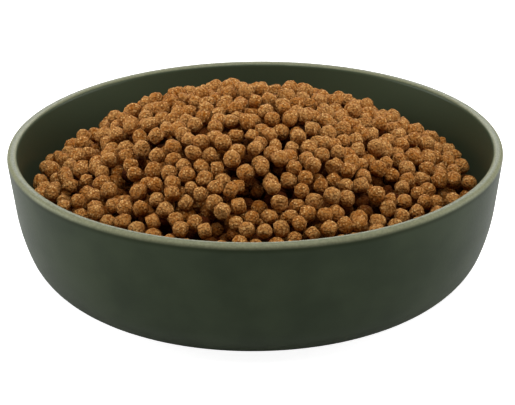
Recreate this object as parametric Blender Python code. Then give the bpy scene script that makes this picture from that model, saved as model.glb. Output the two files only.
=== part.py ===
"""Bowl of dry pet food: a round stoneware bowl heaped with small round kibble.

Metres, +Z up. The origin is the middle of the foot ring's underside, on the surface the bowl stands on.
The bowl is one turned piece. The kibble is a heap whose surface pellets are domes on one body. Some of
the surface pellets are single pieces instead, each lying loose in the hollow that it left in the heap.
"""

import math

import bmesh
import bpy
import numpy as np
from mathutils import Euler, Vector
from mathutils.bvhtree import BVHTree
from mathutils.geometry import delaunay_2d_cdt

MM = 0.001

# Bowl
RIM_DIAMETER = 240 * MM
BOWL_HEIGHT = 68 * MM
WALL_THICKNESS = 5 * MM
LIP_OUTER_ROUND = 3 * MM
LIP_INNER_ROUND = 1.5 * MM
WALL_LEAN = math.radians(7)
BELLY_RADIUS = 92 * MM
BELLY_LEAN = math.radians(21)
HEEL_RADIUS = 29.5 * MM
FOOT_DIAMETER = 160 * MM
FOOT_WIDTH = 4 * MM
FOOT_HEIGHT = 1.5 * MM
FOOT_DRAFT = 0.5 * MM

# Kibble
PELLET_DIAMETER = 8.4 * MM
PELLET_SPACE = 2.5 * MM
CREST_RISE = 18.5 * MM
EDGE_DEPTH = 22.5 * MM
CREST_X = -5.5 * MM
CREST_Y = 8 * MM
HEAP_UNEVENNESS = 1.5 * MM
GROOVE_DEPTH = 4.6 * MM
LOOSE_PELLETS = 26
LOOSE_SPACING = 24 * MM
FIT_GAP = 0.3 * MM

# Smoothness of the round forms
TURNED_SIDES = 56
HEEL_STEPS = 4
BELLY_STEPS = 2
LIP_OUTER_STEPS = 3
LIP_INNER_STEPS = 2
PELLET_SIDES = 7
SHOULDER_SHARE = 0.8
SEED = 8

PELLET_RADIUS = PELLET_DIAMETER / 2
OLIVE_GLAZE = (0.032, 0.036, 0.026, 1.0)
BAKED_BROWN = (0.26, 0.115, 0.04, 1.0)


def clear_scene():
    for obj in list(bpy.data.objects):
        bpy.data.objects.remove(obj)


def new_material(name, colour, roughness):
    material = bpy.data.materials.new(name)
    material.use_nodes = True
    shader = material.node_tree.nodes["Principled BSDF"]
    shader.inputs["Base Color"].default_value = colour
    shader.inputs["Roughness"].default_value = roughness
    shader.inputs["Metallic"].default_value = 0.0
    return material


def new_object(name, bm, material, parent=None):
    """An object from a bmesh, shaded smooth apart from its sharp edges."""
    mesh = bpy.data.meshes.new(name)
    bm.to_mesh(mesh)
    bm.free()
    mesh.materials.append(material)
    mesh.shade_smooth()
    mesh.set_sharp_from_angle(angle=math.radians(40))
    obj = bpy.data.objects.new(name, mesh)
    bpy.context.scene.collection.objects.link(obj)
    obj.parent = parent
    return obj


def arc(centre, radius, start, end, steps):
    """Points (r, z) along an arc, with angles counted up from straight outwards."""
    angles = [start + (end - start) * i / steps for i in range(steps + 1)]
    return [(centre[0] + radius * math.cos(a), centre[1] + radius * math.sin(a)) for a in angles]


def wall_reach():
    """Radius that the wall's leaning outer line would have at rim height, without the rounded lip."""
    lost_in_lip = LIP_OUTER_ROUND * (math.tan(WALL_LEAN) + 1 / math.cos(WALL_LEAN) - 1)
    return RIM_DIAMETER / 2 + lost_in_lip


def straight_radius(height, inset):
    """Radius of the straight wall at a height, at a depth under its outer face."""
    return wall_reach() - (BOWL_HEIGHT - height) * math.tan(WALL_LEAN) - inset / math.cos(WALL_LEAN)


def side_curve(inset):
    """Profile of heel, belly and straight wall at a depth under the outer face, from the base up to the rim."""
    belly_top = FOOT_HEIGHT + HEEL_RADIUS * (1 - math.sin(BELLY_LEAN))
    belly_top += BELLY_RADIUS * (math.sin(BELLY_LEAN) - math.sin(WALL_LEAN))
    belly_centre = (
        straight_radius(belly_top, 0) - BELLY_RADIUS * math.cos(WALL_LEAN),
        belly_top + BELLY_RADIUS * math.sin(WALL_LEAN),
    )
    step_in = BELLY_RADIUS - HEEL_RADIUS
    heel_centre = (
        belly_centre[0] + step_in * math.cos(BELLY_LEAN),
        belly_centre[1] - step_in * math.sin(BELLY_LEAN),
    )
    heel = arc(heel_centre, HEEL_RADIUS - inset, -math.pi / 2, -BELLY_LEAN, HEEL_STEPS)
    belly = arc(belly_centre, BELLY_RADIUS - inset, -BELLY_LEAN, -WALL_LEAN, BELLY_STEPS)
    return heel + belly[1:] + [(straight_radius(BOWL_HEIGHT, inset), BOWL_HEIGHT)]


def lip_curve():
    """Rounded lip, from the outer wall over the top to the inner wall."""
    outer_height = BOWL_HEIGHT - LIP_OUTER_ROUND
    outer_centre = (straight_radius(outer_height, LIP_OUTER_ROUND), outer_height)
    inner_height = BOWL_HEIGHT - LIP_INNER_ROUND
    inner_centre = (straight_radius(inner_height, WALL_THICKNESS - LIP_INNER_ROUND), inner_height)
    outer = arc(outer_centre, LIP_OUTER_ROUND, -WALL_LEAN, math.pi / 2, LIP_OUTER_STEPS)
    inner = arc(inner_centre, LIP_INNER_ROUND, math.pi / 2, math.pi - WALL_LEAN, LIP_INNER_STEPS)
    return outer + inner


def foot_curve():
    """Underside from the middle out: the recess inside the foot ring, then the ring itself."""
    outer = FOOT_DIAMETER / 2
    inner = outer - FOOT_WIDTH
    return [
        (0, FOOT_HEIGHT),
        (inner, FOOT_HEIGHT),
        (inner + FOOT_DRAFT, 0),
        (outer - FOOT_DRAFT, 0),
        (outer, FOOT_HEIGHT),
    ]


def turned(profile):
    """A solid of revolution round Z, from a profile that starts and ends on the axis."""
    bm = bmesh.new()
    points = [bm.verts.new((r, 0, z)) for r, z in profile]
    edges = [bm.edges.new(pair) for pair in zip(points, points[1:])]
    bmesh.ops.spin(
        bm,
        geom=points + edges,
        cent=(0, 0, 0),
        axis=(0, 0, 1),
        angle=2 * math.pi,
        steps=TURNED_SIDES,
        use_merge=True,
    )
    bmesh.ops.remove_doubles(bm, verts=bm.verts, dist=0.001 * MM)
    bmesh.ops.recalc_face_normals(bm, faces=bm.faces)
    return bm


def make_bowl(glaze):
    outer_side = side_curve(0)[:-1]
    inner_side = side_curve(WALL_THICKNESS)[:-1]
    floor_middle = (0, FOOT_HEIGHT + WALL_THICKNESS)
    profile = foot_curve() + outer_side + lip_curve() + inner_side[::-1] + [floor_middle]
    return new_object("bowl", turned(profile), glaze)


def heap_edge():
    """Radius and height at which the heap meets the wall, in the groove behind the pellets that touch it."""
    height = BOWL_HEIGHT - EDGE_DEPTH - HEAP_UNEVENNESS - GROOVE_DEPTH
    radii, heights = zip(*side_curve(WALL_THICKNESS + FIT_GAP))
    return float(np.interp(height, heights, radii)), height


def heap_reach():
    """Largest distance of a pellet's middle from the bowl's axis."""
    return heap_edge()[0] - PELLET_RADIUS


def heap_heights(spots):
    """Heights of the surface pellets' middles over plan places: a dome with its crest off the bowl's middle."""
    crest = np.array([CREST_X, CREST_Y])
    across = spots - crest
    length = np.maximum(np.linalg.norm(across, axis=1), 0.01 * MM)
    along = across @ crest / length
    to_wall = np.sqrt(along**2 - crest @ crest + heap_reach() ** 2) - along
    return BOWL_HEIGHT - EDGE_DEPTH + (CREST_RISE + EDGE_DEPTH) * (1 - (length / to_wall) ** 2)


def heap_normals(spots):
    """Directions straight out of the dome over plan places."""
    step = 0.1 * MM
    slopes = [
        (heap_heights(spots - offset) - heap_heights(spots + offset)) / (2 * step)
        for offset in np.eye(2) * step
    ]
    normals = np.column_stack([*slopes, np.ones(len(spots))])
    return normals / np.linalg.norm(normals, axis=1)[:, None]


def scattered(rng):
    """Plan places of the surface pellets: a spiral spread evenly over the dome, shaken and pushed apart."""
    pitch = PELLET_DIAMETER + PELLET_SPACE
    steepness = 2 * (CREST_RISE + EDGE_DEPTH) / heap_reach() ** 2
    bend = (1 + (steepness * heap_reach()) ** 2) ** 1.5 - 1
    dome_area = 2 * math.pi / (3 * steepness**2) * bend
    count = int(2 / math.sqrt(3) * dome_area / pitch**2)
    index = np.arange(count) + 0.5
    distance = np.sqrt((1 + index / count * bend) ** (2 / 3) - 1) / steepness
    angle = index * math.pi * (3 - math.sqrt(5))
    spots = np.stack([distance * np.cos(angle), distance * np.sin(angle)], axis=1)
    spots += rng.uniform(-pitch / 4, pitch / 4, spots.shape)
    for _ in range(40):
        placed = np.column_stack([spots, heap_heights(spots)])
        apart = placed[:, None] - placed[None]
        gap = np.linalg.norm(apart, axis=2) + np.eye(count)
        push = np.clip(pitch - gap, 0, None) / gap
        spots += 0.25 * (apart[:, :, :2] * push[:, :, None]).sum(axis=1)
        far = np.linalg.norm(spots, axis=1) / heap_reach()
        spots /= np.maximum(far, 1)[:, None]
    return spots


def surface_pellets(rng):
    """Middles of the pellets at the heap's surface, and the way each faces out of it."""
    spots = scattered(rng)
    sunk = rng.uniform(0, 2 * HEAP_UNEVENNESS, len(spots))
    placed = np.column_stack([spots, heap_heights(spots) - sunk])
    return [Vector(p) for p in placed], [Vector(n) for n in heap_normals(spots)]


def wall_spots():
    """Points on the wall half way between the bowl's corners, where the heap's plan is closed."""
    radius, height = heap_edge()
    angles = [2 * math.pi * (i + 0.5) / TURNED_SIDES for i in range(TURNED_SIDES)]
    return [Vector((radius * math.cos(a), radius * math.sin(a), height + GROOVE_DEPTH)) for a in angles]


def hollows(points):
    """Triangles that join each point to its neighbours in plan, as index triples."""
    flat = [p.to_2d() for p in points]
    return delaunay_2d_cdt(flat, [], [], 0, 0.01 * MM, True)[2]


def around(middle, corners, first=Vector((-1, 0))):
    """The corners in order of their direction from the middle, counted from the direction after `first`."""
    return sorted(corners, key=lambda v: -first.angle_signed((v.co - middle).to_2d()))


def wall_corner(bm, index):
    radius, height = heap_edge()
    angle = 2 * math.pi * index / TURNED_SIDES
    return bm.verts.new((radius * math.cos(angle), radius * math.sin(angle), height))


def heap_cells(bm, centres, normals):
    """One face for each pellet, with its corners in the hollows round it, and a strip along the wall."""
    points = centres + wall_spots()
    facing = normals + [Vector((0, 0, 1))] * TURNED_SIDES
    corners_of = [[] for _ in points]
    for triple in hollows(points):
        middle = sum((points[i] for i in triple), Vector()) / 3
        out = sum((facing[i] for i in triple), Vector()).normalized()
        pit = bm.verts.new(middle - out * GROOVE_DEPTH)
        for i in triple:
            corners_of[i].append(pit)
    pellet_count = len(centres)
    cells = [bm.faces.new(around(p, c)) for p, c in zip(centres, corners_of)]
    rim = [wall_corner(bm, i) for i in range(TURNED_SIDES)]
    for i in range(TURNED_SIDES):
        spot = points[pellet_count + i]
        ends = [rim[i], rim[(i + 1) % TURNED_SIDES]]
        bm.faces.new(around(spot, corners_of[pellet_count + i] + ends, -spot.to_2d()))
    return cells


def dome_pellets(bm, cells, centres, normals):
    """Insets each cell, lifts the inset onto the pellet's round shoulder and pokes it up to the top."""
    bmesh.ops.inset_individual(bm, faces=cells, thickness=PELLET_RADIUS / 4)
    for cell, centre, normal in zip(cells, centres, normals):
        for corner in cell.verts:
            out = corner.co - centre
            out -= normal * out.dot(normal)
            out = out.normalized() * SHOULDER_SHARE * PELLET_RADIUS
            corner.co = centre + out + normal * math.sqrt(PELLET_RADIUS**2 - out.length_squared)
    for cell, centre, normal in zip(cells, centres, normals):
        top = bmesh.ops.poke(bm, faces=[cell])["verts"][0]
        top.co = centre + normal * PELLET_RADIUS


def close_underside(bm):
    """Runs the heap's edge down the inside of the bowl, ring by ring, and closes it over the floor."""
    height = heap_edge()[1]
    below = [p for p in side_curve(WALL_THICKNESS + FIT_GAP) if p[1] < height - PELLET_RADIUS / 2]
    edges = [e for e in bm.edges if e.is_boundary]
    for radius, z in below[::-1]:
        ring = bmesh.ops.extrude_edge_only(bm, edges=edges)["geom"]
        edges = [e for e in ring if isinstance(e, bmesh.types.BMEdge)]
        for vert in (v for v in ring if isinstance(v, bmesh.types.BMVert)):
            out = vert.co.to_2d().normalized() * radius
            vert.co = (out.x, out.y, z)
    bmesh.ops.contextual_create(bm, geom=edges)


def make_heap(centres, normals, loose, material, parent):
    """The heap and, for seating what lies in it, its search tree. The loose pellets' cells stay hollow."""
    bm = bmesh.new()
    cells = heap_cells(bm, centres, normals)
    fused = [i for i in range(len(centres)) if i not in loose]
    dome_pellets(bm, *([rows[i] for i in fused] for rows in (cells, centres, normals)))
    close_underside(bm)
    bmesh.ops.recalc_face_normals(bm, faces=bm.faces)
    bmesh.ops.triangulate(bm, faces=bm.faces)
    tree = BVHTree.FromBMesh(bm)
    return new_object("kibble_heap", bm, material, parent), tree


def pellet_shape(rng):
    """A short extruded pellet with rounded ends: a coarse ball, slightly squat or long, with flats."""
    bm = bmesh.new()
    bmesh.ops.create_uvsphere(bm, u_segments=PELLET_SIDES, v_segments=4, radius=PELLET_RADIUS)
    bmesh.ops.scale(bm, vec=(1, rng.uniform(0.92, 1), rng.uniform(0.9, 1.12)), verts=bm.verts)
    for vert in bm.verts:
        vert.co *= rng.uniform(0.94, 1.0)
    turn = Euler(rng.uniform(0, math.pi, 3)).to_matrix()
    bmesh.ops.rotate(bm, cent=(0, 0, 0), matrix=turn, verts=bm.verts)
    bmesh.ops.triangulate(bm, faces=bm.faces)
    return bm


def loose_pellets(centres, rng):
    """Numbers of the surface pellets that lie loose, spread over the heap and clear of the wall."""
    chosen = []
    for index in rng.permutation(len(centres)):
        clear = all((centres[index] - centres[other]).length > LOOSE_SPACING for other in chosen)
        if clear and centres[index].to_2d().length < heap_reach() - PELLET_RADIUS:
            chosen.append(int(index))
    return chosen[:LOOSE_PELLETS]


def seated(bm, spot, out, tree):
    """Lowers a pellet into its hollow, swollen by the fit gap, until it is about to touch the heap."""
    swell = 1 + FIT_GAP / PELLET_RADIUS
    faces = [[v.index for v in f.verts] for f in bm.faces]
    step = 0.05 * MM
    rise = 2 * PELLET_RADIUS
    while rise > -PELLET_RADIUS:
        place = spot + out * (rise - step)
        shell = BVHTree.FromPolygons([v.co * swell + place for v in bm.verts], faces)
        if shell.overlap(tree):
            break
        rise -= step
    return spot + out * rise


def make_loose_pellets(centres, normals, loose, tree, material, parent, rng):
    for number, index in enumerate(loose, 1):
        bm = pellet_shape(rng)
        bm.verts.index_update()
        place = seated(bm, centres[index], normals[index], tree)
        pellet = new_object(f"pellet_{number:02d}", bm, material, parent)
        pellet.location = place


def main():
    clear_scene()
    rng = np.random.default_rng(SEED)
    glaze = new_material("olive_glaze", OLIVE_GLAZE, 0.45)
    kibble = new_material("baked_kibble", BAKED_BROWN, 0.85)
    bowl = make_bowl(glaze)
    centres, normals = surface_pellets(rng)
    loose = loose_pellets(centres, rng)
    heap, tree = make_heap(centres, normals, loose, kibble, bowl)
    make_loose_pellets(centres, normals, loose, tree, kibble, heap, rng)


main()
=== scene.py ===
# %% [markdown]
# # A bowl of dry pet food
#
# The object is one turned stoneware bowl under a dark olive glaze, heaped with small baked pellets. Some
# fourteen hundred are made, those at the surface and those seen between them. A bowl like this could be
# sculpted, but a potter turns it, so here it is a profile spun round an axis. The heap could be one bumpy
# surface, but its look comes from single pellets with dark gaps between them, so each pellet has its own
# place, turn and tone and one of a few shapes.

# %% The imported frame
import math

import bmesh
import bpy
import numpy as np
from mathutils import Euler, Matrix, Vector, noise


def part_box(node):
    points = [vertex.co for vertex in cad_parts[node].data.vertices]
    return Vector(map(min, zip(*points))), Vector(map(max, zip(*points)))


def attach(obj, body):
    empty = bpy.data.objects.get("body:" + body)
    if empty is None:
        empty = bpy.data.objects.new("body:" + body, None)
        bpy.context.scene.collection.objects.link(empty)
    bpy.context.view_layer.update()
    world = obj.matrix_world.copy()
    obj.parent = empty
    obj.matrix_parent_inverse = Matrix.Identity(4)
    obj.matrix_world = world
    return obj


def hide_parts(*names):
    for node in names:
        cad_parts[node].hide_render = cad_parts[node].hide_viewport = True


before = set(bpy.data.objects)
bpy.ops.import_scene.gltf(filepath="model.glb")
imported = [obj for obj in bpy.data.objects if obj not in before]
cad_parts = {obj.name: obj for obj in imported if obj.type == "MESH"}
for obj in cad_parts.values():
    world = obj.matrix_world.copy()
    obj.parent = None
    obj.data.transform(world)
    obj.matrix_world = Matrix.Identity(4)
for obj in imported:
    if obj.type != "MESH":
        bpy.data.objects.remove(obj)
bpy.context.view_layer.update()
MM = 0.001

# %% [markdown]
# ## Sizes of the bowl
#
# The rim and the height come from the frame, so the fine bowl lies exactly where the plain one was. The wall,
# its lean and the three curves that lead down to the foot are the potter's own measures.

# %% Bowl measures
bowl_low, bowl_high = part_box("bowl")
RIM_RADIUS = bowl_high.x
BOWL_HEIGHT = bowl_high.z
WALL_THICKNESS = 5 * MM
LIP_OUTER_ROUND = 2.2 * MM
LIP_INNER_ROUND = 2.4 * MM
WALL_LEAN = math.radians(7)
BELLY_RADIUS = 92 * MM
BELLY_LEAN = math.radians(21)
HEEL_RADIUS = 29.5 * MM
FOOT_RADIUS = 80 * MM
FOOT_WIDTH = 4 * MM
FOOT_HEIGHT = 1.5 * MM
FOOT_DRAFT = 0.5 * MM
BOWL_STEPS = 192
print("bowl in mm:", round(2 * RIM_RADIUS / MM, 1), "across,", round(BOWL_HEIGHT / MM, 1), "high")


# %% Profile of the wall
def arc(centre, radius, start, end, steps):
    """Points (r, z) along an arc, with angles counted up from straight outwards."""
    angles = np.linspace(start, end, steps + 1)
    return [(centre[0] + radius * math.cos(a), centre[1] + radius * math.sin(a)) for a in angles]


def wall_radius(height, inset):
    """Radius of the straight, leaning wall at a height and at a depth under its outer face."""
    lost_in_lip = LIP_OUTER_ROUND * (math.tan(WALL_LEAN) + 1 / math.cos(WALL_LEAN) - 1)
    drop = (BOWL_HEIGHT - height) * math.tan(WALL_LEAN)
    return RIM_RADIUS + lost_in_lip - drop - inset / math.cos(WALL_LEAN)


def side_curve(inset):
    """Heel and belly at a depth under the outer face, from the base up to the straight wall."""
    belly_top = FOOT_HEIGHT + HEEL_RADIUS * (1 - math.sin(BELLY_LEAN))
    belly_top += BELLY_RADIUS * (math.sin(BELLY_LEAN) - math.sin(WALL_LEAN))
    belly_r = wall_radius(belly_top, 0) - BELLY_RADIUS * math.cos(WALL_LEAN)
    belly_z = belly_top + BELLY_RADIUS * math.sin(WALL_LEAN)
    step_in = BELLY_RADIUS - HEEL_RADIUS
    heel_centre = (belly_r + step_in * math.cos(BELLY_LEAN), belly_z - step_in * math.sin(BELLY_LEAN))
    heel = arc(heel_centre, HEEL_RADIUS - inset, -math.pi / 2, -BELLY_LEAN, 14)
    belly = arc((belly_r, belly_z), BELLY_RADIUS - inset, -BELLY_LEAN, -WALL_LEAN, 6)
    return heel + belly[1:]


def lip_curve():
    """The rounded lip, from the outer wall over the top to the inner wall."""
    outer_z = BOWL_HEIGHT - LIP_OUTER_ROUND
    inner_z = BOWL_HEIGHT - LIP_INNER_ROUND
    outer_centre = (wall_radius(outer_z, LIP_OUTER_ROUND), outer_z)
    inner_centre = (wall_radius(inner_z, WALL_THICKNESS - LIP_INNER_ROUND), inner_z)
    outer = arc(outer_centre, LIP_OUTER_ROUND, -WALL_LEAN, math.pi / 2, 10)
    inner = arc(inner_centre, LIP_INNER_ROUND, math.pi / 2, math.pi - WALL_LEAN, 6)
    return outer + inner


def foot_curve():
    """The recess under the bowl and the foot ring, with its edges a little rounded."""
    inner = FOOT_RADIUS - FOOT_WIDTH
    soft = FOOT_DRAFT / 2
    return [
        (0, FOOT_HEIGHT),
        (inner - soft, FOOT_HEIGHT),
        (inner, FOOT_HEIGHT - soft),
        (inner + FOOT_DRAFT, 0),
        (FOOT_RADIUS - FOOT_DRAFT, 0),
        (FOOT_RADIUS, FOOT_HEIGHT - soft),
        (FOOT_RADIUS + soft, FOOT_HEIGHT),
    ]


# %% [markdown]
# ## Turning the bowl
#
# `bmesh.ops.spin` does what the wheel does. The profile starts and ends on the axis, so after the full turn
# only the two poles have doubles to merge.

# %% The turned bowl
def new_piece(name, bm, material, body="root"):
    """A finished piece: its mesh, smooth shading, one material, riding on a body of the frame."""
    mesh = bpy.data.meshes.new(name)
    bm.to_mesh(mesh)
    bm.free()
    mesh.shade_smooth()
    mesh.materials.append(material)
    piece = bpy.data.objects.new(name, mesh)
    bpy.context.scene.collection.objects.link(piece)
    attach(piece, body)
    return piece


def turned(profile, steps):
    """A closed solid of revolution from a profile that starts and ends on the axis."""
    bm = bmesh.new()
    points = [bm.verts.new((r, 0, z)) for r, z in profile]
    edges = [bm.edges.new(pair) for pair in zip(points, points[1:])]
    bmesh.ops.spin(
        bm,
        geom=points + edges,
        cent=(0, 0, 0),
        axis=(0, 0, 1),
        angle=2 * math.pi,
        steps=steps,
        use_merge=True,
    )
    bmesh.ops.remove_doubles(bm, verts=bm.verts, dist=0.001 * MM)
    bmesh.ops.recalc_face_normals(bm, faces=bm.faces)
    return bm


# %% [markdown]
# ## Node helpers
#
# Materials are easier to read when a link is one short call. `build` makes a node and fills its sockets:
# a value goes straight in, and another node's output is linked.

# %% Node helpers
def build(tree, kind, settings=None, **sockets):
    """A node with its properties set and its sockets filled by name, underscores standing for spaces."""
    node = tree.nodes.new(kind)
    for name, value in (settings or {}).items():
        setattr(node, name, value)
    for name, value in sockets.items():
        fill(tree, node.inputs[name.replace("_", " ")], value)
    return node


def fill(tree, socket, value):
    if isinstance(value, bpy.types.NodeSocket):
        tree.links.new(value, socket)
    else:
        socket.default_value = value


def math_node(tree, operation, first, second=0.0, third=0.0):
    node = tree.nodes.new("ShaderNodeMath")
    node.operation = operation
    for socket, value in zip(node.inputs, (first, second, third)):
        fill(tree, socket, value)
    return node.outputs[0]


def mix_colour(tree, factor, low, high):
    node = tree.nodes.new("ShaderNodeMix")
    node.data_type = "RGBA"
    fill(tree, node.inputs[0], factor)
    fill(tree, node.inputs[6], low)
    fill(tree, node.inputs[7], high)
    return node.outputs[2]


def smooth_step(tree, value, low, high):
    """0 below low, 1 above high, with an eased change between them."""
    node = build(tree, "ShaderNodeMapRange", {"interpolation_type": "SMOOTHSTEP"}, Value=value)
    node.inputs["From Min"].default_value = low
    node.inputs["From Max"].default_value = high
    return node.outputs["Result"]


def new_material(name, roughness):
    """An empty Principled material, its tree and its shader."""
    material = bpy.data.materials.new(name)
    material.use_nodes = True
    shader = material.node_tree.nodes["Principled BSDF"]
    shader.inputs["Roughness"].default_value = roughness
    return material, material.node_tree, shader


# %% [markdown]
# ## Mottling, an effect both finishes use
#
# Glaze and baked dough both vary over the surface: broad soft clouds, with finer ones inside them. One node
# group holds that, and each material places it with its own scale.

# %% The mottle group
def mottle_group():
    group = bpy.data.node_groups.new("mottle", "ShaderNodeTree")
    group.interface.new_socket("Vector", in_out="INPUT", socket_type="NodeSocketVector")
    group.interface.new_socket("Scale", in_out="INPUT", socket_type="NodeSocketFloat")
    group.interface.new_socket("Fineness", in_out="INPUT", socket_type="NodeSocketFloat")
    group.interface.new_socket("Clouds", in_out="OUTPUT", socket_type="NodeSocketFloat")
    group.interface.new_socket("Grain", in_out="OUTPUT", socket_type="NodeSocketFloat")
    inside = group.nodes.new("NodeGroupInput").outputs
    outside = group.nodes.new("NodeGroupOutput").inputs
    clouds = build(group, "ShaderNodeTexNoise", Vector=inside["Vector"], Scale=inside["Scale"], Detail=3.0)
    fine_scale = math_node(group, "MULTIPLY", inside["Scale"], inside["Fineness"])
    grain = build(group, "ShaderNodeTexNoise", Vector=inside["Vector"], Scale=fine_scale, Detail=2.0)
    group.links.new(clouds.outputs[0], outside["Clouds"])
    group.links.new(grain.outputs[0], outside["Grain"])
    return group


MOTTLE = mottle_group()


def mottle(tree, position, scale, fineness):
    node = tree.nodes.new("ShaderNodeGroup")
    node.node_tree = MOTTLE
    fill(tree, node.inputs["Vector"], position)
    node.inputs["Scale"].default_value = scale
    node.inputs["Fineness"].default_value = fineness
    return node.outputs["Clouds"], node.outputs["Grain"]


# %% [markdown]
# ## The glaze
#
# The bowl was dipped in one dark olive satin glaze. On the lip it ran thin, so the pale clay shows through as
# sage green, glossier than the wall. Its two edges are palest, partly where the glaze breaks thin and partly a
# painted highlight, with the crest between them darker. Just under the lip, on the outside, runs a darker,
# more yellow line. The inside of the bowl is painted lighter and warmer than the outside: painted light, for
# the light from above and from the heap that falls inside. The foot ring was wiped clean before firing. The
# masks follow the depth under the rim and the distance from the axis, both read in object space, and a mark on
# the faces inside the bowl. The glaze's reflections are tinted a little green, because plain white ones made
# the sides of the bowl grey.

# %% The glaze material
LIP_BAND = 2.9 * MM
LIP_CREST_RADIUS = RIM_RADIUS - 2.4 * MM
LIP_INSIDE_SHARE = 0.45
LIP_WAVER = 0.4 * MM
THIN_DEPTH = 0.7 * MM
CREST_REACH = 1.3 * MM
CREST_FLAT = 0.3 * MM
CREST_COVER = 0.35
STREAK_COVER = 0.3
DARK_LINE = 2.0 * MM
LINE_COVER = 0.6
LIP_SHINE = 0.06
INNER_SHINE = 0.15
SHINE_END = 5 * MM
SHINE_FULL = 1.0 * MM
GLAZE_CLOUD_SCALE = 40.0
GLAZE_FINENESS = 22.0
GLAZE_ROUGHNESS = 0.34
GRAIN_ROUGHNESS = 0.12
CLAY_ROUGHNESS = 0.4
GLAZE_DARK = (0.030, 0.039, 0.023, 1)
GLAZE_LIGHT = (0.042, 0.053, 0.031, 1)
GLAZE_LIP = (0.225, 0.228, 0.140, 1)
# Painted light: the inside of the bowl is painted lighter and warmer than the outside, for the light from
# above and from the heap.
GLAZE_INSIDE_PAINTED_LIGHT = (0.045, 0.058, 0.033, 1)
GLAZE_LINE = (0.015, 0.020, 0.006, 1)
SHEEN_TINT = (0.72, 1.00, 0.66, 1)
BARE_CLAY = (0.33, 0.27, 0.19, 1)


def distance_from_axis(tree, position):
    level = build(tree, "ShaderNodeVectorMath", {"operation": "MULTIPLY"})
    fill(tree, level.inputs[0], position)
    level.inputs[1].default_value = (1, 1, 0)
    length = build(tree, "ShaderNodeVectorMath", {"operation": "LENGTH"})
    fill(tree, length.inputs[0], level.outputs["Vector"])
    return length.outputs["Value"]


def lip_depth(tree, level, inside, clouds):
    """Depth under the rim, wavering a little, and counted faster on the inner side."""
    faster = math_node(tree, "MULTIPLY_ADD", inside, 1 / LIP_INSIDE_SHARE - 1, 1.0)
    waver = math_node(tree, "MULTIPLY_ADD", clouds, 2 * LIP_WAVER, -LIP_WAVER)
    return math_node(tree, "MULTIPLY_ADD", level, faster, waver)


def glaze_material():
    material, tree, shader = new_material("olive_glaze_fine", 0.42)
    shader.inputs["Specular IOR Level"].default_value = 0.11
    shader.inputs["Specular Tint"].default_value = SHEEN_TINT
    shader.inputs["Coat Roughness"].default_value = 0.26
    position = build(tree, "ShaderNodeTexCoord").outputs["Object"]
    height = build(tree, "ShaderNodeSeparateXYZ", Vector=position).outputs["Z"]
    clouds, grain = mottle(tree, position, GLAZE_CLOUD_SCALE, GLAZE_FINENESS)
    glaze = mix_colour(tree, smooth_step(tree, clouds, 0.3, 0.7), GLAZE_DARK, GLAZE_LIGHT)
    radius = distance_from_axis(tree, position)
    inside = build(tree, "ShaderNodeAttribute", {"attribute_name": "inside"}).outputs["Fac"]
    # Painted light on the faces inside the bowl.
    glaze = mix_colour(tree, inside, glaze, GLAZE_INSIDE_PAINTED_LIGHT)
    level = math_node(tree, "SUBTRACT", BOWL_HEIGHT, height)
    depth = lip_depth(tree, level, inside, clouds)
    # A darker, more yellow line just under the lip, on the outside only.
    line = smooth_step(tree, depth, LIP_BAND + DARK_LINE, LIP_BAND)
    line_cover = math_node(tree, "MULTIPLY_ADD", inside, -LINE_COVER, LINE_COVER)
    line = math_node(tree, "MULTIPLY", line, line_cover)
    glaze = mix_colour(tree, line, glaze, GLAZE_LINE)
    lip = smooth_step(tree, depth, LIP_BAND, THIN_DEPTH)
    streaks = smooth_step(tree, grain, 0.25, 0.75)
    # Pale lip edges: partly the thin glaze breaking over them, partly a painted highlight; the crest between
    # them is mixed darker.
    off_crest = math_node(tree, "ABSOLUTE", math_node(tree, "SUBTRACT", radius, LIP_CREST_RADIUS))
    crest = smooth_step(tree, off_crest, CREST_REACH, CREST_FLAT)
    streaks = math_node(tree, "MULTIPLY", streaks, STREAK_COVER)
    darker_crest_and_streaks = math_node(tree, "MULTIPLY_ADD", crest, CREST_COVER, streaks)
    lip_colour = mix_colour(tree, darker_crest_and_streaks, GLAZE_LIP, GLAZE_LIGHT)
    glaze = mix_colour(tree, lip, glaze, lip_colour)
    shine = math_node(tree, "MULTIPLY_ADD", inside, INNER_SHINE - LIP_SHINE, LIP_SHINE)
    shine = math_node(tree, "MULTIPLY", smooth_step(tree, level, SHINE_END, SHINE_FULL), shine)
    fill(tree, shader.inputs["Coat Weight"], shine)
    foot = math_node(tree, "LESS_THAN", height, FOOT_HEIGHT - 0.2 * MM)
    fill(tree, shader.inputs["Base Color"], mix_colour(tree, foot, glaze, BARE_CLAY))
    satin = math_node(tree, "MULTIPLY_ADD", grain, GRAIN_ROUGHNESS, GLAZE_ROUGHNESS)
    fill(tree, shader.inputs["Roughness"], math_node(tree, "MULTIPLY_ADD", foot, CLAY_ROUGHNESS, satin))
    bump = build(tree, "ShaderNodeBump", Height=grain, Strength=0.12, Distance=0.2 * MM)
    fill(tree, shader.inputs["Normal"], bump.outputs["Normal"])
    return material


def mark_inside(bowl):
    """A face attribute that is 1 on the side of the wall that faces the axis and on the floor inside."""
    marks = []
    for face in bowl.data.polygons:
        faces_axis = face.normal.xy.dot(face.center.xy) < 0
        is_floor = face.normal.z > 0.9 and face.center.xy.length < LIP_CREST_RADIUS
        marks.append(float(faces_axis or is_floor))
    bowl.data.attributes.new("inside", "FLOAT", "FACE").data.foreach_set("value", marks)


def make_bowl():
    inner_side = side_curve(WALL_THICKNESS)[::-1]
    floor_middle = (0, FOOT_HEIGHT + WALL_THICKNESS)
    profile = foot_curve() + side_curve(0) + lip_curve() + inner_side + [floor_middle]
    bowl = new_piece("glazed_bowl", turned(profile, BOWL_STEPS), glaze_material())
    mark_inside(bowl)
    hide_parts("bowl")
    return bowl


bowl = make_bowl()
print("bowl faces:", len(bowl.data.polygons))

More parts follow.
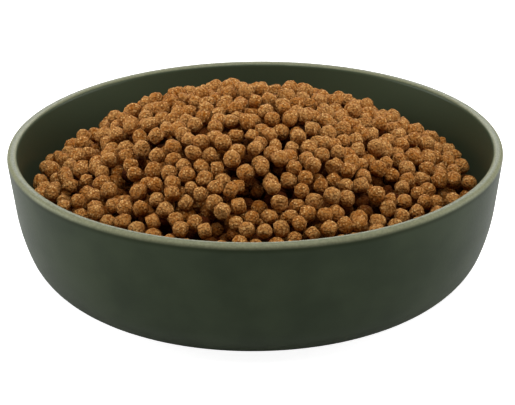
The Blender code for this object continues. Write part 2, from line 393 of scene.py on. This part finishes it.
# %% [markdown]
# ## Where the pellets lie
#
# Real kibble is poured, and it settles into a smooth heap of pellets that touch but never line up. A
# rigid-body simulation would do that, but it is slow for a thousand pieces and hard to hold to one outline.
# Here the surface pellets start at random places and depths around a dome and push each other apart sideways
# until nearly all have room. The ones below, seen only through the gaps, are dropped one at a time and roll
# into a hollow. The two layers are placed without regard to each other, so a third of the surface pellets cut
# into one below by more than 0.8 mm, the deepest by 5 mm. Dropping the lower ones around them would mend that.

# %% The dome the heap follows
PELLET_RADIUS = 4.2 * MM
CREST = np.array([-5.5, 8.0]) * MM
CREST_RISE = 18.5 * MM
EDGE_DEPTH = 22.5 * MM

inner_wall = side_curve(WALL_THICKNESS) + [(wall_radius(BOWL_HEIGHT, WALL_THICKNESS), BOWL_HEIGHT)]
wall_r, wall_z = np.array(inner_wall).T


def reach_at(height):
    """How far a pellet's middle can be from the axis before it touches the wall."""
    return np.interp(height, wall_z, wall_r) - PELLET_RADIUS


HEAP_REACH = float(reach_at(BOWL_HEIGHT - EDGE_DEPTH))


def dome(spots):
    """Height of the surface pellets' middles over plan places."""
    across = spots - CREST
    length = np.maximum(np.linalg.norm(across, axis=1), 0.01 * MM)
    along = across @ CREST / length
    to_wall = np.sqrt(along**2 - CREST @ CREST + HEAP_REACH**2) - along
    share = np.minimum(length / to_wall, 1.1)
    return BOWL_HEIGHT - EDGE_DEPTH + (CREST_RISE + EDGE_DEPTH) * (1 - share**2)


# %% The pellets at the surface
SURFACE_PELLETS = 525
SURFACE_SIZES = (0.88, 1.05)
SUNK_MM = (-1.5, 5.0)
EDGE_ROOM = 3 * MM
ROOM = 1.02
EASE = 0.3
rng = np.random.default_rng(21)


def node_middles(prefix):
    """Middles of the frame's single pellets, by node name."""
    names = sorted(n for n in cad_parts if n.startswith(prefix))
    return names, np.array([sum(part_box(n), Vector()) / 2 for n in names])


def random_spots(count):
    """Plan places inside the heap's edge, a few more where the dome is steep and shows more surface."""
    angle = rng.uniform(0, 2 * math.pi, count)
    distance = HEAP_REACH * rng.uniform(0, 1, count) ** 0.48
    return np.stack([distance * np.cos(angle), distance * np.sin(angle)], axis=1)


def pushed_apart(spots, sunk, radii, fixed, rounds=110):
    """Moves the pellets, each kept at its own depth, until they clear each other and the fixed ones."""
    count = len(spots)
    reach = np.append(radii, np.full(len(fixed), PELLET_RADIUS))
    wanted = ROOM * (reach[:count, None] + reach[None])
    for _ in range(rounds):
        placed = np.vstack([np.column_stack([spots, dome(spots) - sunk]), fixed])
        apart = placed[:count, None] - placed[None]
        gap = np.linalg.norm(apart, axis=2) + 1e-9
        gap[np.arange(count), np.arange(count)] = 1
        push = np.clip(wanted - gap, 0, None) / gap
        spots = spots + EASE * (apart[:, :, :2] * push[:, :, None]).sum(axis=1)
        far = np.linalg.norm(spots, axis=1) / (HEAP_REACH - EDGE_ROOM)
        spots = spots / np.maximum(far, 1)[:, None]
    return spots


loose_names, loose_places = node_middles("pellet_")
surface_radii = PELLET_RADIUS * rng.uniform(*SURFACE_SIZES, SURFACE_PELLETS)
surface_sunk = rng.uniform(*SUNK_MM, SURFACE_PELLETS) * MM
surface_spots = pushed_apart(random_spots(SURFACE_PELLETS), surface_sunk, surface_radii, loose_places)
surface_places = np.column_stack([surface_spots, dome(surface_spots) - surface_sunk])
print("surface pellets:", SURFACE_PELLETS, "and", len(loose_names), "loose ones")


# %% Pellets that dried stuck together
STUCK_SHARE = 0.03
STUCK_SPACING = 0.78


def stick_pairs(places, radii, share):
    """Draws some pellets and their nearest neighbours together until they overlap a little."""
    for one in rng.choice(len(places), int(share * len(places)), replace=False):
        gap = np.linalg.norm(places - places[one], axis=1)
        gap[one] = 1
        other = int(gap.argmin())
        wanted = STUCK_SPACING * (radii[one] + radii[other])
        move = (places[other] - places[one]) * 0.5 * max(0, 1 - wanted / gap[other])
        places[one] += move
        places[other] -= move


stick_pairs(surface_places, surface_radii, STUCK_SHARE)
print("pellets drawn onto a neighbour:", int(STUCK_SHARE * SURFACE_PELLETS))

# %% The pellets below
LAYER_DEPTH = 8.0 * MM
BED_DEPTH = 16 * MM
LOWER_SIZES = (0.9, 1.08)
MOST_BELOW = 1500
MOST_MISSES = 60
SPOTS_TRIED = 24
FIRST_STEP = 1.5 * MM
LAST_STEP = 0.15 * MM
COMPASS = np.array([(math.cos(a), math.sin(a)) for a in np.arange(8) * math.pi / 4])


def resting(spots, radius, placed, radii):
    """Heights at which a pellet dropped over each spot first touches the bed or a placed pellet."""
    floor = dome(spots) - BED_DEPTH
    if not len(placed):
        return floor
    apart = ((spots[:, None] - placed[None, :, :2]) ** 2).sum(axis=2)
    over = (radii + radius) ** 2 - apart
    heights = np.where(over > 0, placed[:, 2] + np.sqrt(np.maximum(over, 0)), -1.0)
    return np.maximum(floor, heights.max(axis=1))


def rolled(spot, radius, placed, radii):
    """Where a pellet comes to rest after rolling downhill for at most a diameter and a half."""
    height = resting(spot[None], radius, placed, radii)[0]
    step = FIRST_STEP
    travelled = 0.0
    while step > LAST_STEP and travelled < 3 * PELLET_RADIUS:
        tries = spot + COMPASS * step
        inside = np.linalg.norm(tries, axis=1) < reach_at(height)
        heights = np.where(inside, resting(tries, radius, placed, radii), 1.0)
        lowest = int(heights.argmin())
        if heights[lowest] < height - 0.02 * step:
            spot = tries[lowest]
            height = heights[lowest]
            travelled += step
        else:
            step /= 2
    return np.array([*spot, height])


def drop_pellets(most):
    """Middles and radii of the pellets, dropped where the heap is furthest below the surface layer."""
    placed = np.zeros((0, 3))
    radii = np.zeros(0)
    misses = 0
    while len(placed) < most and misses < MOST_MISSES:
        radius = PELLET_RADIUS * rng.uniform(*LOWER_SIZES)
        spots = random_spots(SPOTS_TRIED)
        room = dome(spots) - resting(spots, radius, placed, radii)
        place = rolled(spots[int(room.argmax())], radius, placed, radii)
        if place[2] > dome(place[None, :2])[0] - LAYER_DEPTH:
            misses += 1
            continue
        misses = 0
        placed = np.vstack([placed, place])
        radii = np.append(radii, radius)
    return placed, radii


lower_places, lower_radii = drop_pellets(MOST_BELOW)
print("pellets below:", len(lower_places))

# %% [markdown]
# ## The shape of a pellet
#
# Kibble is pressed through a round die, cut, puffed and dried. Most pellets end as rough balls, some keep the
# flat ends of a short cylinder, a few are long, and a few dried stuck together in pairs. The balls and long
# ones start as a subdivided cube pushed out to a unit sphere, because its even quads shade better than a
# ball's poles, and the cut ones start as a short cone with worn rims.

# %% Pellet forms
def round_cage(cuts):
    """A ball of even quads."""
    bm = bmesh.new()
    bmesh.ops.create_cube(bm, size=2)
    bmesh.ops.subdivide_edges(bm, edges=bm.edges, cuts=cuts, use_grid_fill=True)
    for vert in bm.verts:
        vert.co.normalize()
    return bm


def long_cage(cuts):
    bm = round_cage(cuts)
    bmesh.ops.scale(bm, verts=bm.verts, vec=(0.9, 0.9, 1.2))
    return bm


def cut_cage(cuts):
    """A short length cut off a round strand, its two rims a little worn."""
    bm = bmesh.new()
    bmesh.ops.create_cone(
        bm,
        cap_ends=True,
        segments=6 + 2 * cuts,
        radius1=0.94,
        radius2=0.88,
        depth=1.45,
    )
    rims = [e for e in bm.edges if abs(e.verts[0].co.z - e.verts[1].co.z) < 0.01]
    bmesh.ops.bevel(bm, geom=rims, offset=0.32, segments=2, profile=0.5, affect="EDGES", material=-1)
    return bm


def flattened(point, flats):
    """Presses a point back behind the flats that its neighbours left."""
    for flat, depth in flats:
        proud = point.dot(flat) - depth
        if proud > 0:
            point = point - flat * proud * 0.9
    return point


def pellet_form(name, cage, seed, cuts=2, flat_count=2):
    """One pellet of about unit radius: a cage, a few flats and lumps in two sizes."""
    own = np.random.default_rng(seed)
    flats = [(Vector(own.normal(size=3)).normalized(), own.uniform(0.74, 0.88)) for _ in range(flat_count)]
    shift = Vector(own.uniform(0, 50, 3))
    bm = cage(cuts)
    for vert in bm.verts:
        lump = 0.99 + 0.10 * noise.noise(vert.co * 1.5 + shift) + 0.07 * noise.noise(vert.co * 3.4 - shift)
        vert.co = flattened(vert.co, flats) * lump
    bmesh.ops.recalc_face_normals(bm, faces=bm.faces)
    mesh = bpy.data.meshes.new(name)
    bm.to_mesh(mesh)
    bm.free()
    return mesh


FORMS = [pellet_form(f"ball_{i}", round_cage, i) for i in range(10)]
FORMS += [pellet_form(f"cut_{i}", cut_cage, 20 + i, flat_count=1) for i in range(4)]
FORMS += [pellet_form(f"long_{i}", long_cage, 40 + i) for i in range(2)]
FORM_CHANCES = np.array([0.066] * 10 + [0.065] * 4 + [0.04] * 2)

# %% [markdown]
# ## Baked dough
#
# Close up the crust is a fine gravel of golden and brown grains with dark pits. Colour and bump come from the
# same small cells, so a grain that stands out is also the lighter one, and where the bump sinks into a pit the
# colour is painted darker: painted shade there, on top of the crumb's own darker brown. The small bright
# specks on the grains are partly lighter crumbs and partly painted highlights. Each pellet carries its own
# `tone`, because no two leave the oven equally brown. Tones below zero paint shade on the pellets deep in the
# heap: a painted shade of dark red brown, as if light had gone from crust to crust. The crust's faint gloss is
# tinted warm.

# %% The kibble material
GRAIN_SCALE = 950.0
KIBBLE_CLOUD_SCALE = 260.0
KIBBLE_FINENESS = 3.6
TONE_WEIGHT = 0.18
GRAIN_WEIGHT = 1.2
CLOUD_WEIGHT = 0.5
BROWN_BELOW = 0.50
GOLD_ABOVE = 1.38
SPECK_AND_GLINT_CHANCE_ABOVE = 0.76
SPECK_AND_GLINT_COVER = 0.5
# How far the pits are painted dark: partly the crumb's own darker brown, partly painted shade in the recesses.
PIT_SHADE_COVER = 0.6
CRUST_RELIEF = 0.34 * MM
CRUST_DARK_AND_PIT_SHADE = (0.100, 0.018, 0.001, 1)
CRUST_MID = (0.325, 0.097, 0.006, 1)
CRUST_GOLD = (0.530, 0.284, 0.093, 1)
# Painted shade for the pellets deep in the heap.
CRUST_PAINTED_SHADE = (0.040, 0.005, 0.001, 1)
# Partly the colour of lighter crumbs, partly a painted highlight.
SPECK_GOLD_AND_GLINT = (0.950, 0.650, 0.280, 1)
CRUST_SHEEN = (1.00, 0.72, 0.40, 1)


def kibble_material():
    material, tree, shader = new_material("baked_kibble_fine", 0.72)
    position = build(tree, "ShaderNodeTexCoord").outputs["Object"]
    tone = build(tree, "ShaderNodeAttribute", {"attribute_name": "tone"}).outputs["Fac"]
    clouds, grain = mottle(tree, position, KIBBLE_CLOUD_SCALE, KIBBLE_FINENESS)
    crumbs = build(tree, "ShaderNodeTexVoronoi", Vector=position, Scale=GRAIN_SCALE, Randomness=1.0)
    pits = smooth_step(tree, crumbs.outputs["Distance"], 0.42, 0.85)
    chance = build(tree, "ShaderNodeSeparateColor", Color=crumbs.outputs["Color"]).outputs[0]
    gold = math_node(tree, "MULTIPLY", grain, GRAIN_WEIGHT)
    gold = math_node(tree, "MULTIPLY_ADD", tone, TONE_WEIGHT, gold)
    gold = math_node(tree, "MULTIPLY_ADD", clouds, CLOUD_WEIGHT, gold)
    golden = smooth_step(tree, gold, BROWN_BELOW, GOLD_ABOVE)
    colour = mix_colour(tree, golden, CRUST_MID, CRUST_GOLD)
    # Bright specks on the raised grain cores: partly lighter crumbs, partly painted highlights.
    core = smooth_step(tree, crumbs.outputs["Distance"], 0.5, 0.15)
    chosen = math_node(tree, "GREATER_THAN", chance, SPECK_AND_GLINT_CHANCE_ABOVE)
    specks_and_glints = math_node(tree, "MULTIPLY", chosen, core)
    colour = mix_colour(tree, math_node(tree, "MULTIPLY", specks_and_glints, SPECK_AND_GLINT_COVER), colour, SPECK_GOLD_AND_GLINT)
    # Pits, where the bump sinks, are painted darker: painted shade on top of the crumb's own darker brown.
    dark = math_node(tree, "MULTIPLY", pits, PIT_SHADE_COVER)
    colour = mix_colour(tree, dark, colour, CRUST_DARK_AND_PIT_SHADE)
    # Tones below zero mix in painted shade, darkest at a tone of -1.
    painted_shade = smooth_step(tree, tone, 0.0, -1.0)
    fill(tree, shader.inputs["Base Color"], mix_colour(tree, painted_shade, colour, CRUST_PAINTED_SHADE))
    relief = math_node(tree, "MULTIPLY_ADD", grain, 1.4, math_node(tree, "SUBTRACT", 1.0, pits))
    bump = build(tree, "ShaderNodeBump", Height=relief, Strength=1.0, Distance=CRUST_RELIEF)
    fill(tree, shader.inputs["Normal"], bump.outputs["Normal"])
    shader.inputs["Specular IOR Level"].default_value = 0.1
    shader.inputs["Specular Tint"].default_value = CRUST_SHEEN
    return material


KIBBLE = kibble_material()

# %% [markdown]
# ## Filling the bowl
#
# Every pellet is a copy of one form, scaled, turned and moved in one matrix. They are joined into a few
# pieces, since a thousand objects would be slow, and the tone goes into a face attribute.


# %% Joining pellets into pieces
SURFACE_TONES = (0.0, 1.0)
# Tones under zero, for the pellets below and the bed, are painted shade.
PAINTED_SHADE_TONES = (-0.9, -0.3)


def pellet_matrix(place, radius, turn):
    return Matrix.LocRotScale(Vector(place), turn, Vector((radius,) * 3))


def joined_pellets(name, places, radii, tones):
    """One piece with a pellet at each place, its tones drawn from a range."""
    bm = bmesh.new()
    kinds = rng.choice(len(FORMS), len(places), p=FORM_CHANCES / FORM_CHANCES.sum())
    for kind, place, radius in zip(kinds, places, radii):
        turn = Euler(rng.uniform(0, 2 * math.pi, 3))
        one = FORMS[kind].copy()
        one.transform(pellet_matrix(place, radius, turn))
        bm.from_mesh(one)
        bpy.data.meshes.remove(one)
    piece = new_piece(name, bm, KIBBLE)
    give_tones(piece, [len(FORMS[kind].polygons) for kind in kinds], tones)
    return piece


def give_tones(piece, face_counts, tones):
    """A tone on every face, the same all over one pellet."""
    values = np.repeat(rng.uniform(*tones, len(face_counts)), face_counts)
    piece.data.attributes.new("tone", "FLOAT", "FACE").data.foreach_set("value", values)


surface = joined_pellets("kibble_surface", surface_places, surface_radii, SURFACE_TONES)
# The pellets below take tones under zero, so they are painted in shade.
joined_pellets("kibble_below", lower_places, lower_radii, PAINTED_SHADE_TONES)
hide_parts("kibble_heap")


# %% The bed under the pellets
def make_bed():
    """The unseen bulk of the heap, so that no gap between pellets shows the bowl's floor."""
    edge_z = BOWL_HEIGHT - EDGE_DEPTH - BED_DEPTH
    side = [p for p in side_curve(WALL_THICKNESS + 0.5 * MM) if p[1] < edge_z]
    edge_r = float(np.interp(edge_z, wall_z, wall_r)) - 0.5 * MM
    top = [(edge_r * share, edge_z) for share in np.linspace(1, 0, 12)]
    bm = turned([(0, side[0][1])] + side + top, 48)
    for vert in bm.verts:
        if vert.co.z > edge_z - 0.01 * MM:
            spot = np.array([vert.co.xy])
            vert.co.z = max(edge_z, dome(spot)[0] - BED_DEPTH)
    bed = new_piece("kibble_bed", bm, KIBBLE)
    # The bed takes the darkest tone: painted shade all over.
    give_tones(bed, [len(bed.data.polygons)], (PAINTED_SHADE_TONES[0], PAINTED_SHADE_TONES[0]))


make_bed()

# %% [markdown]
# ## The loose pellets
#
# The single pellets that lie on the heap are seen whole, so each is its own piece with a finer mesh.


# %% Loose pellets
def make_loose_pellet(number, node, place):
    cage = (round_cage, round_cage, cut_cage)[number % 3]
    form = pellet_form(f"loose_form_{number}", cage, 100 + number, cuts=5)
    form.transform(pellet_matrix(place, PELLET_RADIUS * rng.uniform(0.97, 1.05), Euler(rng.uniform(0, 6, 3))))
    bm = bmesh.new()
    bm.from_mesh(form)
    bpy.data.meshes.remove(form)
    piece = new_piece(f"loose_{node}", bm, KIBBLE)
    give_tones(piece, [len(piece.data.polygons)], SURFACE_TONES)
    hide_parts(node)


for number, (node, place) in enumerate(zip(loose_names, loose_places)):
    make_loose_pellet(number, node, place)
print("loose pellets:", len(loose_names))

# %% [markdown]
# ## Floor, light and camera
#
# The photograph has a white ground and light from both sides, behind and above, which leaves the front of the
# bowl dark and brightens its edges. Large soft area lights do that. Floor and background show white to the
# camera alone and add almost no light of their own, so that the bowl stays dark on white, and its shadow is
# fainter than a real one. The camera stands a metre away and looks down a little more than twenty degrees.


# %% Floor
FLOOR_GLOW = 0.92


def seen_by_camera(tree, direct, otherwise):
    """One strength for what the camera sees straight on, another for what lights the object."""
    is_camera = build(tree, "ShaderNodeLightPath").outputs["Is Camera Ray"]
    return math_node(tree, "MULTIPLY_ADD", is_camera, direct - otherwise, otherwise)


def make_floor():
    material, tree, shader = new_material("white_floor", 0.9)
    shader.inputs["Base Color"].default_value = (0.75, 0.75, 0.75, 1)
    shader.inputs["Emission Color"].default_value = (1, 1, 1, 1)
    fill(tree, shader.inputs["Emission Strength"], seen_by_camera(tree, FLOOR_GLOW, 0.0))
    bm = bmesh.new()
    bmesh.ops.create_grid(bm, x_segments=2, y_segments=2, size=4)
    mesh = bpy.data.meshes.new("floor")
    bm.to_mesh(mesh)
    bm.free()
    mesh.materials.append(material)
    floor = bpy.data.objects.new("floor", mesh)
    bpy.context.scene.collection.objects.link(floor)


make_floor()


# %% Lights
def soft_box(name, place, target, size, power):
    """A rectangular area light that faces a target."""
    light = bpy.data.lights.new(name, "AREA")
    light.shape = "RECTANGLE"
    light.size, light.size_y = size
    light.energy = power
    lamp = bpy.data.objects.new(name, light)
    lamp.location = place
    lamp.rotation_euler = (Vector(target) - Vector(place)).to_track_quat("-Z", "Y").to_euler()
    bpy.context.scene.collection.objects.link(lamp)


BOWL_MIDDLE = (0, 0, 0.05)
soft_box("left_box", (-1.2, 0.1, 0.3), BOWL_MIDDLE, (0.9, 0.6), 9.5)
soft_box("right_box", (1.2, 0.1, 0.3), BOWL_MIDDLE, (0.9, 0.6), 8.5)
soft_box("back_box", (0, 1.2, 0.7), BOWL_MIDDLE, (1.4, 0.5), 11)
soft_box("top_box", (0, -0.25, 1.3), BOWL_MIDDLE, (1.2, 1.2), 19.5)

world = bpy.data.worlds.new("studio")
world.use_nodes = True
world.node_tree.nodes["Background"].inputs["Color"].default_value = (1, 1, 1, 1)
strength = seen_by_camera(world.node_tree, 1.0, 0.01)
fill(world.node_tree, world.node_tree.nodes["Background"].inputs["Strength"], strength)
bpy.context.scene.world = world
bpy.context.scene.view_settings.view_transform = "Standard"

# %% Camera
CAMERA_DISTANCE = 1.0033
CAMERA_ELEVATION = math.radians(21.72)
CAMERA_DOWN = math.radians(23.384)
CAMERA_YAW = math.radians(0.057)
CAMERA_ROLL = math.radians(0.56)
SENSOR_WIDTH = 36.0
PICTURE_WIDTH = 515
FOCAL_PIXELS = 2063.9


def make_camera():
    data = bpy.data.cameras.new("camera")
    data.sensor_width = SENSOR_WIDTH
    data.lens = SENSOR_WIDTH * FOCAL_PIXELS / PICTURE_WIDTH
    camera = bpy.data.objects.new("camera", data)
    back = CAMERA_DISTANCE * math.cos(CAMERA_ELEVATION)
    up = BOWL_HEIGHT + CAMERA_DISTANCE * math.sin(CAMERA_ELEVATION)
    turn = Matrix.Rotation(-CAMERA_YAW, 4, "Z") @ Matrix.Rotation(math.pi / 2 - CAMERA_DOWN, 4, "X")
    turn = turn @ Matrix.Rotation(-CAMERA_ROLL, 4, "Z")
    camera.matrix_world = Matrix.Translation((0, -back, up)) @ turn
    bpy.context.scene.collection.objects.link(camera)
    bpy.context.scene.camera = camera


make_camera()
